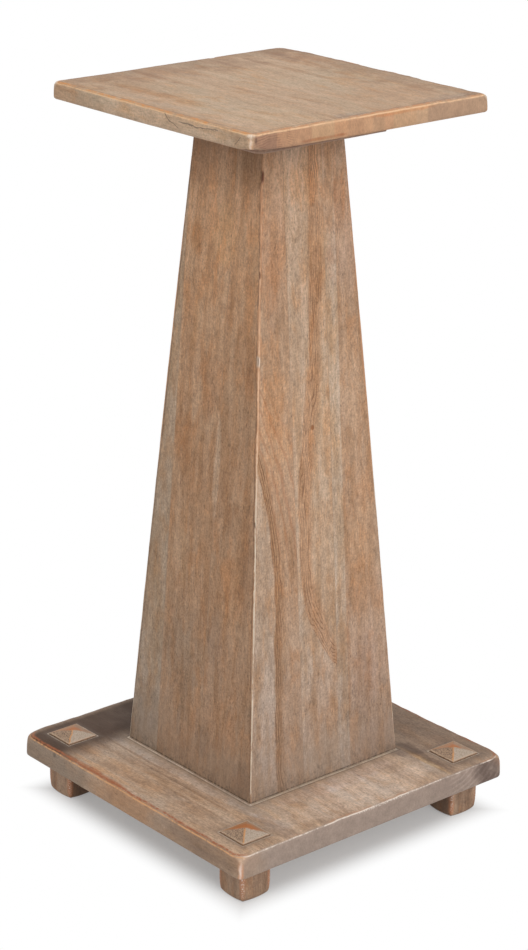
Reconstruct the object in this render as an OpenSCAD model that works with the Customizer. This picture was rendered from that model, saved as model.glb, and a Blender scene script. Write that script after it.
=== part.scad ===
// Wooden pedestal stand: square top, hollow tapered column, square base on four corner posts.
// Origin on the floor under the middle, +Z up, grain of the two square boards along X.

/* [Top board] */
// Side of the square top
top_w = 300; // [220:1:420]
// Thickness of the top
top_t = 19; // [14:0.5:32]
// Radius of the top's upright corners
top_corner = 5; // [2:0.5:14]

/* [Mounting plate] */
// How far the square plate reaches past the column's head, on each side
plate_reach = 32; // [20:1:45]
// Thickness of the plate
plate_t = 21; // [8:0.5:30]
// Leg of the 45-degree cut across each corner of the plate
plate_clip = 7; // [2:0.5:20]

/* [Column] */
// Height of the column
column_h = 660; // [400:1:900]
// Outside width of the column at its head
column_head_w = 104; // [70:1:130]
// Thickness of the four column boards
wall = 19; // [10:0.5:28]
// Width of the flat that eases each arris of the column
column_arris = 1.5; // [0.5:0.5:6]

/* [Base board] */
// Side of the square base
base_w = 360; // [300:1:480]
// Width of the base that shows round the foot of the column
ledge = 80; // [62:1:82]
// Thickness of the base
base_t = 25; // [16:0.5:40]
// Radius of the base's upright corners
base_corner = 8; // [2:0.5:16]

/* [Edges] */
// Radius that eases the upper and lower edges of both square boards
edge_r = 5; // [1:0.5:6.5]

/* [Corner posts] */
// Distance from the two near edges of the base to the middle of each post
post_inset = 37.5; // [30:0.5:42]
// Side of the post where it passes through the base
stud_w = 35; // [24:0.5:36]
// Height of the stud's upright rim above the base
stud_rim = 1; // [0.5:0.5:4]
// Height of the pyramid above the rim
stud_rise = 6; // [3:0.5:14]
// Width of the shoulder that carries the base, on each side of the post
shoulder = 1; // [0.5:0.5:4]
// Height of the foot below the base
foot_h = 40; // [20:1:80]
// How far each side of the foot leans in, from the base down to the floor
foot_taper = 1.5; // [0:0.5:4]
// Radius of the foot's upright corners
foot_corner = 4; // [1:0.5:8]
// Radius of the foot's lower edges
foot_edge = 4; // [1:0.5:8]
// Play between the post and its mortise, on each side
mortise_play = 0.2; // [0.1:0.1:1]

/* [Hidden] */
$fn = 48;
arc_steps = 6;
// How far a shape that only trims another runs past it
over = 1;

// Heights of the seats, from the floor up
base_z = foot_h;
column_z = base_z + base_t;
plate_z = column_z + column_h;
top_z = plate_z + plate_t;

plate_w = column_head_w + 2 * plate_reach;
column_foot_w = base_w - 2 * ledge;
post_off = base_w / 2 - post_inset;
foot_w = stud_w + 2 * shoulder;
mortise_w = stud_w + 2 * mortise_play;
// The panels lean, so the wall measures a little more along the level than square to its face
lean = atan((column_foot_w - column_head_w) / 2 / column_h);
level_wall = wall / cos(lean);

wood_top = "#b09478";
wood_column = "#a08468";
wood_plate = "#6b5344";
wood_base = "#94806c";
wood_post = "#8a6f58";

// Points of an arc round [x, y], from angle a0 to a1
function arc(x, y, r, a0, a1) =
    [for (i = [0:arc_steps]) let (a = a0 + (a1 - a0) * i / arc_steps) [x + r * cos(a), y + r * sin(a)]];

// Rectangle about the origin with round corners
module eased_rect(w, h, r) {
    square([w - 2 * r, h], center = true);
    square([w, h - 2 * r], center = true);
    for (x = [-1, 1], y = [-1, 1])
        translate([x * (w / 2 - r), y * (h / 2 - r)]) circle(r);
}

// Prism that runs along Y, from an outline drawn in X and Z
module along_y(length) {
    rotate([90, 0, 0]) linear_extrude(length, center = true) children();
}

// What is common to an outline seen from the front and the same outline seen from the side
module both_ways(length) {
    intersection() {
        along_y(length) children();
        rotate([0, 0, 90]) along_y(length) children();
    }
}

// Square board with round upright corners and eased edges, lying on the plane z = 0
module square_board(w, t, corner) {
    intersection() {
        linear_extrude(t) eased_rect(w, w, corner);
        translate([0, 0, t / 2]) both_ways(w + 2 * over) eased_rect(w, t, edge_r);
    }
}

module top_board() {
    color(wood_top) translate([0, 0, top_z]) square_board(top_w, top_t, top_corner);
}

module mount_plate() {
    h = plate_w / 2;
    c = h - plate_clip;
    color(wood_plate) translate([0, 0, plate_z]) linear_extrude(plate_t)
        polygon([[c, -h], [h, -c], [h, c], [c, h], [-c, h], [-h, c], [-h, -c], [-c, -h]]);
}

// One tapered board of the column, the one that faces -Y, with its two mitres
module column_panel() {
    foot = column_foot_w / 2;
    head = column_head_w / 2;
    foot_diag = foot * sqrt(2) - column_arris / 2;
    head_diag = head * sqrt(2) - column_arris / 2;
    intersection() {
        rotate([90, 0, 90]) linear_extrude(column_foot_w + 2 * over, center = true)
            polygon([[-foot, 0], [-head, column_h], [level_wall - head, column_h], [level_wall - foot, 0]]);
        linear_extrude(column_h) polygon([[0, 0], [-foot - over, -foot - over], [foot + over, -foot - over]]);
        rotate([0, 0, 45]) both_ways(2 * (foot_diag + over))
            polygon([[-foot_diag, 0], [foot_diag, 0], [head_diag, column_h], [-head_diag, column_h]]);
    }
}

// A column board turned to face right, back or left by quarter turns
module panel(turns) {
    color(wood_column) translate([0, 0, column_z]) rotate([0, 0, 90 * turns]) column_panel();
}

// Puts children at a corner of the base; x and y are each -1 or 1
module at_corner(x, y) {
    translate([x * post_off, y * post_off, 0]) children();
}

module base_board() {
    color(wood_base) translate([0, 0, base_z]) difference() {
        square_board(base_w, base_t, base_corner);
        for (x = [-1, 1], y = [-1, 1])
            at_corner(x, y) translate([0, 0, -over])
                linear_extrude(base_t + 2 * over) square(mortise_w, center = true);
    }
}

// Block foot: sides lean in towards the floor, lower edges and upright corners eased
module foot_block() {
    top = foot_w / 2;
    low = top - foot_taper;
    intersection() {
        both_ways(foot_w + 2 * over) polygon(concat(
            arc(low - foot_edge, foot_edge, foot_edge, -90, 0),
            [[top, foot_h], [-top, foot_h]],
            arc(foot_edge - low, foot_edge, foot_edge, 180, 270)));
        linear_extrude(foot_h) eased_rect(foot_w, foot_w, foot_corner);
    }
}

// Square length that goes up through the mortise and ends in a low pyramid
module stud() {
    s = stud_w / 2;
    rim_z = base_t + stud_rim;
    both_ways(stud_w + 2 * over) polygon([[-s, 0], [s, 0], [s, rim_z], [0, rim_z + stud_rise], [-s, rim_z]]);
}

module post(x, y) {
    color(wood_post) at_corner(x, y) union() {
        foot_block();
        translate([0, 0, foot_h]) stud();
    }
}

top_board();
mount_plate();
panel(0);  // panel_front
panel(1);  // panel_right
panel(2);  // panel_back
panel(3);  // panel_left
base_board();
post(-1, -1);  // post_front_left
post(1, -1);  // post_front_right
post(1, 1);  // post_back_right
post(-1, 1);  // post_back_left
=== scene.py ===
import math

import bmesh
import bpy
from mathutils import Matrix, Vector, noise


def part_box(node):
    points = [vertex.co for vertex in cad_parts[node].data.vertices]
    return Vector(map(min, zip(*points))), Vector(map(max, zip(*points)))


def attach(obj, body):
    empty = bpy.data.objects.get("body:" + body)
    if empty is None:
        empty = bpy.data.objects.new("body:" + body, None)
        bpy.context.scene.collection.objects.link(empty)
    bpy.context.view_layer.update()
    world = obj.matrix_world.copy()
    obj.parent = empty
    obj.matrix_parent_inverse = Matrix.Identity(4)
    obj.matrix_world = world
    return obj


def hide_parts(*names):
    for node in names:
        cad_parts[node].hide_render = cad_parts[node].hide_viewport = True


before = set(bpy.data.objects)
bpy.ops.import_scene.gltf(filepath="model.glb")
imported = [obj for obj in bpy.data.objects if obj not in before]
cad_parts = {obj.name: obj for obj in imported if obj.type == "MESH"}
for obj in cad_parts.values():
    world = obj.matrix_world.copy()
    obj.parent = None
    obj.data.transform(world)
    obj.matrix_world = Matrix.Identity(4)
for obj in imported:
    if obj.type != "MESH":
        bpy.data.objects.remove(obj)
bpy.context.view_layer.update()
mm = 0.001

# angles in degrees, lengths in metres; aim is the point looked at, height above the floor and step aside
viewpoint = {"azimuth": 49.456, "elevation": 20.122, "distance": 2.632, "aimHeight": 0.3666,
             "aimAside": -0.0011, "roll": 0.651, "lens": 98.22, "sensor": 36}

# each sun: compass angle and height it shines from, strength, and how wide and soft it is
suns = {
    "key": {"azimuth": 80, "height": 30, "strength": 1.38, "width": 40},
    "fill": {"azimuth": 12, "height": 32, "strength": 0.50, "width": 40},
    "overhead": {"azimuth": 55, "height": 80, "strength": 0.80, "width": 60}}
sky = {"color": (1.0, 0.99, 0.98, 1), "strength": 0.28}
ground = {"radius": 3.0, "color": (0.80, 0.80, 0.80, 1), "seen": (0.48, 0.48, 0.48, 1), "glow": 0.255,
          "clear": (0.144, 0.190)}


class Field:  # a value that varies over a surface: arithmetic on it adds the nodes that work it out
    def __init__(self, socket):
        self.socket = socket

    def __add__(self, other):
        return calc("ADD", self, other)

    def __radd__(self, other):
        return calc("ADD", other, self)

    def __sub__(self, other):
        return calc("SUBTRACT", self, other)

    def __rsub__(self, other):
        return calc("SUBTRACT", other, self)

    def __mul__(self, other):
        return calc("MULTIPLY", self, other)

    def __abs__(self):
        return calc("ABSOLUTE", self)


def addNode(kind, *values, **settings):  # a node in the tree that the values belong to
    tree = next(v for v in values if isinstance(v, Field)).socket.id_data
    node = tree.nodes.new("ShaderNode" + kind)
    for name, setting in settings.items():
        setattr(node, name, setting)
    return node


def put(value, socket):
    if isinstance(value, Field):
        socket.id_data.links.new(value.socket, socket)
    else:
        socket.default_value = value


def fill(node, values):  # sets inputs by name or number, and gives the first output
    for name, value in values.items():
        put(value, node.inputs[name])
    return Field(node.outputs[0])


def calc(operation, first, second=0.0):
    return fill(addNode("Math", first, second, operation=operation), {0: first, 1: second})


def rise(value, start, end, low=0.0, high=1.0):  # a smooth step from low to high
    node = addNode("MapRange", value, interpolation_type="SMOOTHSTEP")
    return fill(node, {"Value": value, "From Min": start, "From Max": end, "To Min": low, "To Max": high})


def fall(value, start, end):
    return rise(value, start, end, 1.0, 0.0)


def band(value, middle, width, soft):  # one inside a band round middle, zero outside
    return fall(abs(value - middle), width / 2 - soft / 2, width / 2 + soft / 2)


def paint(code):  # a colour written as six hex digits, turned linear
    values = [int(code[i:i + 2], 16) / 255 for i in (0, 2, 4)]
    return [v / 12.92 if v < 0.04045 else ((v + 0.055) / 1.055) ** 2.4 for v in values]


def mix(share, first, second, mode="MIX"):  # each colour is a field, three numbers or hex digits
    node = addNode("Mix", share, first, second, data_type="RGBA", blend_type=mode)
    put(share, node.inputs[0])
    for color, socket in ((first, node.inputs[6]), (second, node.inputs[7])):
        if isinstance(color, str):
            color = paint(color)
        put(color if isinstance(color, Field) else (*color, 1.0), socket)
    return Field(node.outputs[2])


def tone(color, level):  # color made lighter or darker by level
    return fill(addNode("VectorMath", color, operation="SCALE"), {0: color, "Scale": level})


def moved(point, pushes):  # the coordinates pushed along some axes
    push = fill(addNode("CombineXYZ", point), pushes)
    return fill(addNode("VectorMath", point, operation="ADD"), {0: point, 1: push})


def noiseAt(point, size, shift, detail=2.0, rough=0.5, twist=0.0):  # one lump every size metres
    size = size if isinstance(size, (tuple, list)) else (size,) * 3
    place = fill(addNode("Mapping", point), {"Vector": point, "Scale": [1 / s for s in size],
                                             "Location": (shift, shift * 1.7, shift * 2.3)})
    return fill(addNode("TexNoise", point), {"Vector": place, "Scale": 1.0, "Detail": detail,
                                             "Roughness": rough, "Distortion": twist})


def curveOf(value, points, span):  # a curve through given points: points (value, result), results within span
    low, high = points[0][0], points[-1][0]
    start = fill(addNode("MapRange", value), {"Value": value, "From Min": low, "From Max": high})
    node = addNode("FloatCurve", value)
    line = node.mapping.curves[0]
    shares = [((v - low) / (high - low), (r - span[0]) / (span[1] - span[0])) for v, r in points]
    line.points[0].location, line.points[-1].location = shares[0], shares[-1]
    for share in shares[1:-1]:
        line.points.new(*share)
    node.mapping.update()
    return fill(node, {"Value": start}) * (span[1] - span[0]) + span[0]


def takenApart(point):
    node = addNode("SeparateXYZ", point)
    put(point, node.inputs[0])
    return [Field(socket) for socket in node.outputs]


def startMaterial(name):
    material = bpy.data.materials.new(name)
    material.use_nodes = True
    point = Field(material.node_tree.nodes.new("ShaderNodeTexCoord").outputs["Object"])
    return material, point, takenApart(point)


surface = {"shine": 0.32, "bump": 0.6, "relief": 0.35 * mm, "rough": (0.56, 0.68)}


def finishMaterial(material, color, height, rough, relief=surface["relief"]):
    bump = addNode("Bump", color)
    shader = material.node_tree.nodes["Principled BSDF"]
    fill(shader, {"Base Color": color, "Roughness": rough, "Specular IOR Level": surface["shine"],
                  "Normal": fill(bump, {"Distance": relief, "Strength": surface["bump"], "Height": height})})
    return material


def dullness(cloud):
    return rise(cloud, 0.3, 0.7, *surface["rough"])


def grainSize(axis, across, along):
    return [along if i == axis else across for i in range(3)]


def weathered(point, axis, seed, look):
    # streaks, fibres, pores, mottling and a grey wash, with the grain along axis
    sway = noiseAt(point, grainSize(axis, 0.05, 0.25), seed + 11, 1.0)
    way = moved(point, {i: (sway - 0.5) * look["sway"] for i in range(3) if i != axis})
    streak = noiseAt(way, grainSize(axis, look["streak"], look["streak"] * 13), seed, 3.0, 0.55)
    line = noiseAt(way, grainSize(axis, 0.0034, 0.04), seed + 2, 2.0, 0.6)
    fibre = noiseAt(way, grainSize(axis, 0.0014, 0.009), seed + 3, 3.0, 0.65)
    grit = noiseAt(point, 0.0021, seed + 12, 2.0, 0.65)
    mottle = noiseAt(way, grainSize(axis, 0.007, 0.012), seed + 13, 3.0, 0.62, 0.6)
    darkFleck = rise(noiseAt(way, grainSize(axis, 0.0012, 0.0045), seed + 4, 1.0), 0.57, 0.72)
    dash = rise(noiseAt(way, grainSize(axis, 0.0011, 0.0065), seed + 15, 1.0), 0.66, 0.74)
    dash = dash * rise(noiseAt(point, grainSize(axis, 0.02, 0.05), seed + 16), 0.4, 0.6, 0.2, 1.0)
    paleFleck = rise(noiseAt(way, grainSize(axis, 0.0013, 0.005), seed + 5, 1.0), 0.6, 0.75)
    cloud = noiseAt(way, grainSize(axis, look["cloud"], look["cloud"] * 1.9), seed + 6, 3.0, 0.6, 0.6)
    warmth = noiseAt(way, grainSize(axis, 0.014, 0.045), seed + 8, 3.0, 0.6, 0.4)
    blotch = noiseAt(point, grainSize(axis, 0.015, 0.032), seed + 14, 4.0, 0.62, 0.8)
    color = mix(rise(streak, 0.34, 0.66), look["light"], look["dark"])
    color = mix(rise(cloud, 0.42, 0.66) * look["wash"], color, look["washColor"])
    color = mix(rise(warmth, 0.48, 0.68) * look["warmth"], color, look["warm"])
    level = 1.0
    for pattern, strength in ((line, 0.26), (fibre, 0.95), (grit, 1.0), (mottle, 0.62), (cloud, 0.34)):
        level = level + (pattern - 0.5) * (strength * look["contrast"])
    color = tone(color, level)
    color = mix(rise(blotch, 0.5, 0.72) * look["blotch"], color, look["blotchTint"], "MULTIPLY")
    color = mix(fall(blotch, 0.28, 0.46) * (look["blotch"] * 0.6), color, (1.07, 1.06, 1.04),
                "MULTIPLY")
    often = rise(mottle, 0.38, 0.62, 0.35, 1.0)
    color = mix(darkFleck * often * look["flecks"], color, look["fleckColor"])
    color = mix(paleFleck * often * (look["flecks"] * 0.6), color, look["paleColor"])
    color = mix(dash * look["dashes"], color, look["dashColor"])
    height = fibre * 0.4 + line * 0.3 + grit * 0.3 + darkFleck * -0.4
    return color, height, cloud, fibre


def block(low, high):
    bm = bmesh.new()
    bmesh.ops.create_cube(bm, size=1)
    bmesh.ops.scale(bm, vec=high - low, verts=bm.verts)
    bmesh.ops.translate(bm, vec=(high + low) / 2, verts=bm.verts)
    return bm


def easeEdges(bm, chosen, radius, steps):
    bmesh.ops.bevel(bm, geom=chosen, offset=radius, offset_type="OFFSET", segments=steps,
                    profile=0.5, affect="EDGES", material=-1)


def uprightEdges(bm):
    return [e for e in bm.edges if abs(e.verts[0].co.z - e.verts[1].co.z) > mm]


def levelEdges(bm, *heights):
    return [e for e in bm.edges
            if any(all(abs(v.co.z - height) < 0.01 * mm for v in e.verts) for height in heights)]


def slices(bm, axis, places):
    normal = Vector((0, 0, 0))
    normal[axis] = 1
    for place in sorted(places):
        bmesh.ops.bisect_plane(bm, geom=bm.verts[:] + bm.edges[:] + bm.faces[:], dist=0.01 * mm,
                               plane_co=normal * place, plane_no=normal)


def divide(bm, axis, step):  # cuts each edge that runs along an axis into steps of about this length
    groups = {}
    for edge in bm.edges:
        run = edge.verts[1].co - edge.verts[0].co
        count = round(run.length / step)
        if count > 1 and abs(run[axis]) > 0.98 * run.length:
            groups.setdefault(count, []).append(edge)
    for count, edges in groups.items():
        bmesh.ops.subdivide_edges(bm, edges=edges, cuts=count - 1)


def evenly(low, high, step):
    count = max(1, round((high - low) / step))
    return [low + (high - low) * i / count for i in range(1, count)]


def lumps(co, size, shift):  # smooth noise from -1 to 1, a lump every size metres
    return noise.noise(Vector((co.x / size[0] + shift, co.y / size[1] - shift, co.z / size[2] + 2 * shift)))


def wearEdges(bm, low, high, wear):  # upper edges and corners rubbed down, most at the far ones
    for vert in bm.verts:
        co = vert.co.copy()
        inward = Vector((math.copysign(1, -co.x), math.copysign(1, -co.y), -1))
        gap = [high.x - abs(co.x), high.y - abs(co.y), high.z - co.z]
        lowness = min(1.0, gap[2] / (high.z - low.z))
        push = Vector((0, 0, 0))
        for a, b in ((0, 1), (0, 2), (1, 2)):
            far = 1.0
            if b == 2 and (co.x < 0 if a == 0 else co.y > 0):
                far = wear["far"][a]
            reach = wear["reach"] * (wear["farReach"] if far > 1 else 1.0)
            share = 1 - (gap[a] + gap[b]) / reach
            if share > 0:
                uneven = 0.8 + wear["patchy"] * lumps(co, wear["lumps"], wear["seed"] + a + b)
                uneven += wear["patchy"] / 2 * lumps(co, [s / 4 for s in wear["lumps"]], wear["seed"] + 9)
                depth = wear["depth"] * share * share * max(0.0, uneven)
                depth *= far
                depth *= 1 - lowness if b == 1 else 1.0
                push[a] += inward[a] * depth
                push[b] += inward[b] * depth
        share = 1 - sum(gap) / wear["tipReach"]
        if share > 0:
            push += inward * wear["tipDepth"] * share * share
        vert.co += push


def unevenFaces(bm, depth, size, seed, held):  # hand-planed hollows; held(co) is 1 where nothing may move
    bm.normal_update()
    shifts = [depth * (lumps(v.co, size, seed) + 0.4 * lumps(v.co, [s / 3 for s in size], seed + 5))
              * (1 - held(v.co)) for v in bm.verts]
    directions = [v.normal.copy() for v in bm.verts]
    for vert, direction, shift in zip(bm.verts, directions, shifts):
        vert.co += direction * shift


def dent(bm, place, radius, inward, depth):
    for vert in bm.verts:
        share = 1 - (vert.co - place).length / radius
        if share > 0:
            vert.co += inward * depth * min(1.0, 1.6 * share)


def finishPiece(name, bm, material, slot, *nodes):
    bmesh.ops.recalc_face_normals(bm, faces=bm.faces)
    for face in bm.faces:
        face.smooth = True
    for edge in bm.edges:
        edge.smooth = len(edge.link_faces) == 2 and edge.calc_face_angle(0) < math.radians(38)
    mesh = bpy.data.meshes.new(name)
    bm.to_mesh(mesh)
    bm.free()
    piece = bpy.data.objects.new(name, mesh)
    bpy.context.scene.collection.objects.link(piece)
    mesh.materials.append(material)
    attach(piece, "root")
    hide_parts(*nodes)
    print("made", name, len(mesh.polygons), "faces")


topBoard = {
    "corner": 5.2 * mm, "ease": 3.6 * mm, "underEase": 3.0 * mm, "cell": 2.9 * mm,
    "wear": {
        "reach": 10 * mm, "depth": 0.5 * mm, "lumps": (0.035, 0.035, 0.02), "seed": 3.1, "patchy": 0.5,
        "far": (1.5, 4.6), "farReach": 1.9, "tipReach": 15 * mm, "tipDepth": 0.4 * mm},
    "hollows": (0.22 * mm, (0.11, 0.05, 0.05), 1.7),
    # the underside thins out towards the front edge, and most of all at the near corner
    "thin": {"from": 90 * mm, "to": 145 * mm, "front": 1.2 * mm, "near": 1.1 * mm},
    # a crack: where it starts and ends along the front edge, and its depth below the top
    "cracks": (
        (0.027, 0.034, 2.5 * mm, 7.5 * mm), (0.034, 0.046, 7.5 * mm, 11.5 * mm),
        (0.0485, 0.078, 6.2 * mm, 6.4 * mm), (0.080, 0.1035, 6.0 * mm, 4.8 * mm),
        (0.129, 0.135, 12 * mm, 6 * mm)),
    # dents: (x, y, below the top), radius, depth
    "dents": (
        ((0.1475, -0.1475, 6 * mm), 5 * mm, 0.9 * mm), ((0.147, -0.147, 17 * mm), 16 * mm, 2.4 * mm),
        ((0.147, -0.147, 1 * mm), 12 * mm, 1.0 * mm), ((-0.149, 0.048, 1 * mm), 5 * mm, 0.9 * mm),
        ((0.147, -0.020, 1 * mm), 4 * mm, 0.5 * mm), ((0.020, -0.148, 1 * mm), 7 * mm, 0.5 * mm))}


def thinFront(bm, low, high, thin):
    def ramp(value):
        share = min(1.0, max(0.0, (value - thin["from"]) / (thin["to"] - thin["from"])))
        return share * share * (3 - 2 * share)

    for vert in bm.verts:
        co = vert.co
        near = min(1.0, max(0.0, co.x / high.x)) * min(1.0, max(0.0, -co.y / high.y))
        lift = ramp(-co.y) * thin["front"] + max(ramp(-co.y), ramp(co.x)) * near * thin["near"]
        co.z += lift * (high.z - co.z) / (high.z - low.z)


def roundedBoard(low, high, look, steps, cuts):  # eased all round and divided into small cells
    bm = block(low, high)
    easeEdges(bm, uprightEdges(bm), look["corner"], steps)
    easeEdges(bm, levelEdges(bm, high.z), look["ease"], 5)
    easeEdges(bm, levelEdges(bm, low.z), look["underEase"], 3)
    for axis in (0, 1):
        slices(bm, axis, {low[axis] + look["corner"], high[axis] - look["corner"]} | cuts[axis])
    for axis in (0, 1, 2):
        divide(bm, axis, look["cell"])
    return bm


def dentEdges(bm, low, high, dents):  # towards the board's middle
    for (x, y, below), radius, depth in dents:
        upward = abs(x) if below > (high.z - low.z) / 2 else -abs(x)
        dent(bm, Vector((x, y, high.z - below)), radius, Vector((-x, -y, upward)).normalized(), depth)


def makeTopBoard():
    low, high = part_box("top_board")
    bm = roundedBoard(low, high, topBoard, 5, (set(), set()))
    wearEdges(bm, low, high, topBoard["wear"])
    thinFront(bm, low, high, topBoard["thin"])
    unevenFaces(bm, *topBoard["hollows"], lambda co: 1.0 if co.z < low.z + mm else 0.0)
    dentEdges(bm, low, high, topBoard["dents"])
    finishPiece("topBoard", bm, topMaterial(low, high), "top_wood", "top_board")


mountPlate = {
    "clip": 7 * mm, "ease": 1.6 * mm, "cell": 4 * mm, "seat": 2 * mm,
    "hollows": (0.2 * mm, (0.05, 0.05, 0.05), 4.2)}


def makeMountPlate():
    low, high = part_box("mount_plate")
    bm = block(low, high)
    easeEdges(bm, uprightEdges(bm), mountPlate["clip"], 1)
    easeEdges(bm, levelEdges(bm, low.z), mountPlate["ease"], 3)
    for axis in (0, 1):
        slices(bm, axis, [low[axis] + mountPlate["clip"], high[axis] - mountPlate["clip"]])
    for axis in (0, 1, 2):
        divide(bm, axis, mountPlate["cell"])

    def held(co):  # flat where the top and the column touch it
        onColumn = max(abs(co.x), abs(co.y)) < columnHead + 6 * mm
        return 1.0 if co.z > high.z - mountPlate["seat"] or onColumn else 0.0

    unevenFaces(bm, *mountPlate["hollows"], held)
    finishPiece("mountPlate", bm, plateMaterial(low), "plate_wood", "mount_plate")


columnBoards = {
    "joint": 0.1 * mm, "ease": 1.1 * mm, "belly": 0.8 * mm, "cellUp": 5 * mm, "cellAcross": 4 * mm,
    "groove": 0.2 * mm, "hollows": (0.22 * mm, (0.03, 0.03, 0.16)), "rub": 0.5 * mm, "rubReach": 5 * mm}


def panelSizes():  # half the column's width at its foot and at its head, and the panels' thickness
    low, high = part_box("panel_front")
    corners = [v.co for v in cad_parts["panel_front"].data.vertices]
    head = max(co.x for co in corners if co.z > high.z - mm)
    wall = max(co.y for co in corners if co.z < low.z + mm) - low.y
    return -low.y, head, wall


columnFoot, columnHead, columnWall = panelSizes()
columnLow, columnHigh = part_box("panel_front")


def columnHalf(z):  # half the column's width at height z
    share = (z - columnLow.z) / (columnHigh.z - columnLow.z)
    return columnFoot + (columnHead - columnFoot) * share


def makePanel(name, node, turn, side):
    low, high = columnLow, columnHigh
    bm = bmesh.new()
    bmesh.ops.create_cube(bm, size=2)
    for vert in bm.verts:
        z = low.z + (high.z - low.z) * (vert.co.z + 1) / 2
        inset = columnWall if vert.co.y > 0 else 0
        half = columnHalf(z)
        vert.co = Vector((math.copysign(half - inset - columnBoards["joint"], vert.co.x), inset - half, z))
    outer = [e for e in bm.edges if all(v.co.y < -columnHalf(v.co.z) + mm for v in e.verts)
             and not all(v.co.z > high.z - mm for v in e.verts)]
    easeEdges(bm, outer, columnBoards["ease"], 3)
    divide(bm, 2, columnBoards["cellUp"])
    seams = [s + d for s in side["staves"] for d in (-0.8 * mm, 0, 0.8 * mm)]
    slices(bm, 0, evenly(low.x, high.x, columnBoards["cellAcross"]) + seams)
    for vert in bm.verts:
        co = vert.co
        half = columnHalf(co.z)
        onFace = co.y < -half + 2.5 * mm
        share = (co.z - low.z) / (high.z - low.z)
        belly = columnBoards["belly"] * math.sin(math.pi * share)
        co.y -= belly
        co.x += math.copysign(belly, co.x) * min(1, abs(co.x) / half)
        if onFace and any(abs(co.x - s) < 0.1 * mm for s in side["staves"]) and 0.02 < share:
            co.y += columnBoards["groove"]
        rub = 1 - (half - abs(co.x)) / columnBoards["rubReach"]
        if onFace and rub > 0:
            uneven = max(0.0, 0.45 + 0.9 * lumps(co, (0.02, 0.02, 0.022), side["seed"]))
            co.y += columnBoards["rub"] * rub * rub * uneven

    def held(co):  # only the outer face is uneven, away from its edges
        half = columnHalf(co.z)
        onFace = co.y < -half + 1.5 * mm and abs(co.x) < half - 3 * mm
        return 0.0 if onFace and low.z + 6 * mm < co.z < high.z - 4 * mm else 1.0

    unevenFaces(bm, *columnBoards["hollows"], side["seed"] + 2, held)
    for x, z, radius, depth in side["dents"]:
        half = columnHalf(z)
        place = Vector((x if x is not None else half, -half, z))
        dent(bm, place, radius, Vector((0, 1, 0)), depth)
    bmesh.ops.rotate(bm, cent=(0, 0, 0), matrix=Matrix.Rotation(math.radians(turn), 3, "Z"), verts=bm.verts)
    finishPiece(name, bm, columnMaterial(name, side), "column_wood", node)


baseBoard = {
    "corner": 8.2 * mm, "ease": 3.6 * mm, "underEase": 2.2 * mm, "cell": 3.3 * mm, "play": 0.2 * mm,
    "sink": 0.5 * mm, "sinkReach": 5 * mm,
    "wear": {
        "reach": 12 * mm, "depth": 0.8 * mm, "lumps": (0.05, 0.05, 0.02), "seed": 8.4, "patchy": 0.8,
        "far": (1.3, 1.4), "farReach": 1.2, "tipReach": 26 * mm, "tipDepth": 1.6 * mm},
    "hollows": (0.3 * mm, (0.12, 0.05, 0.05), 5.2),
    "dents": (
        ((0.178, 0.026, 1 * mm), 4.5 * mm, 0.9 * mm), ((0.178, 0.154, 1 * mm), 4 * mm, 0.8 * mm),
        ((0.178, -0.062, 1 * mm), 4 * mm, 0.5 * mm), ((-0.05, -0.178, 1 * mm), 9 * mm, 0.6 * mm),
        ((0.02, -0.178, 1 * mm), 8 * mm, 0.5 * mm), ((-0.125, -0.179, 5 * mm), 3 * mm, 0.5 * mm),
        ((0.180, -0.180, 0.0), 24 * mm, 1.8 * mm))}


def postPlaces():  # the middle of each post, and half the width of its stud
    places = {}
    for side in ("left", "right"):
        for end in ("front", "back"):
            low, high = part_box("post_" + end + "_" + side)
            places[end, side] = (low + high) / 2
    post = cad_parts["post_front_left"].data.vertices
    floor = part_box("base_board")[1].z
    half = max(v.co.x for v in post if v.co.z > floor) - places["front", "left"].x
    return places, half


def makeBaseBoard():
    low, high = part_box("base_board")
    places, stud = postPlaces()
    hole = stud + baseBoard["play"]
    cuts = []
    for axis in (0, 1):
        walls = {round(p[axis] + s * hole, 6) for p in places.values() for s in (-1, 1)}
        cuts.append(walls | {w + d for w in walls for d in (-1.5 * mm, 1.5 * mm)})
    bm = roundedBoard(low, high, baseBoard, 6, cuts)
    for middle in places.values():
        cut = [f for f in bm.faces if abs(f.normal.z) > 0.9
               and all(abs(f.calc_center_median()[i] - middle[i]) < hole for i in (0, 1))]
        bmesh.ops.delete(bm, geom=cut, context="FACES")
        rim = [e for e in bm.edges if len(e.link_faces) == 1
               and all(abs(v.co[i] - middle[i]) < hole + mm for v in e.verts for i in (0, 1))]
        bmesh.ops.bridge_loops(bm, edges=rim)
    wearEdges(bm, low, high, baseBoard["wear"])

    def held(co):  # flat round the studs, under the column and on the underside
        nearStud = min(max(abs(co.x - p.x), abs(co.y - p.y)) for p in places.values()) < hole + mm
        inside = max(abs(co.x), abs(co.y)) < columnFoot + 1.5 * mm
        return 1.0 if nearStud or inside or co.z < low.z + mm else 0.0

    unevenFaces(bm, *baseBoard["hollows"], held)
    for vert in bm.verts:
        if vert.co.z > high.z - 2 * mm:
            gap = min(max(abs(vert.co.x - p.x), abs(vert.co.y - p.y)) for p in places.values()) - hole
            if gap < baseBoard["sinkReach"]:
                vert.co.z -= baseBoard["sink"] * (1 - max(0.0, gap) / baseBoard["sinkReach"])
    dentEdges(bm, low, high, baseBoard["dents"])
    finishPiece("baseBoard", bm, baseMaterial(low, high, places, stud), "base_wood", "base_board")


cornerPost = {
    "upright": 2.2 * mm, "floorEdge": 4.4 * mm, "cell": 2.5 * mm, "rim": 1 * mm,
    "blunt": 1 * mm, "bluntReach": 6 * mm, "lumps": 0.25 * mm,
    "wear": {
        "reach": 10 * mm, "depth": 0.15 * mm, "lumps": (0.018, 0.018, 0.018), "tipReach": 20 * mm,
        "tipDepth": 1.5 * mm}}


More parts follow.
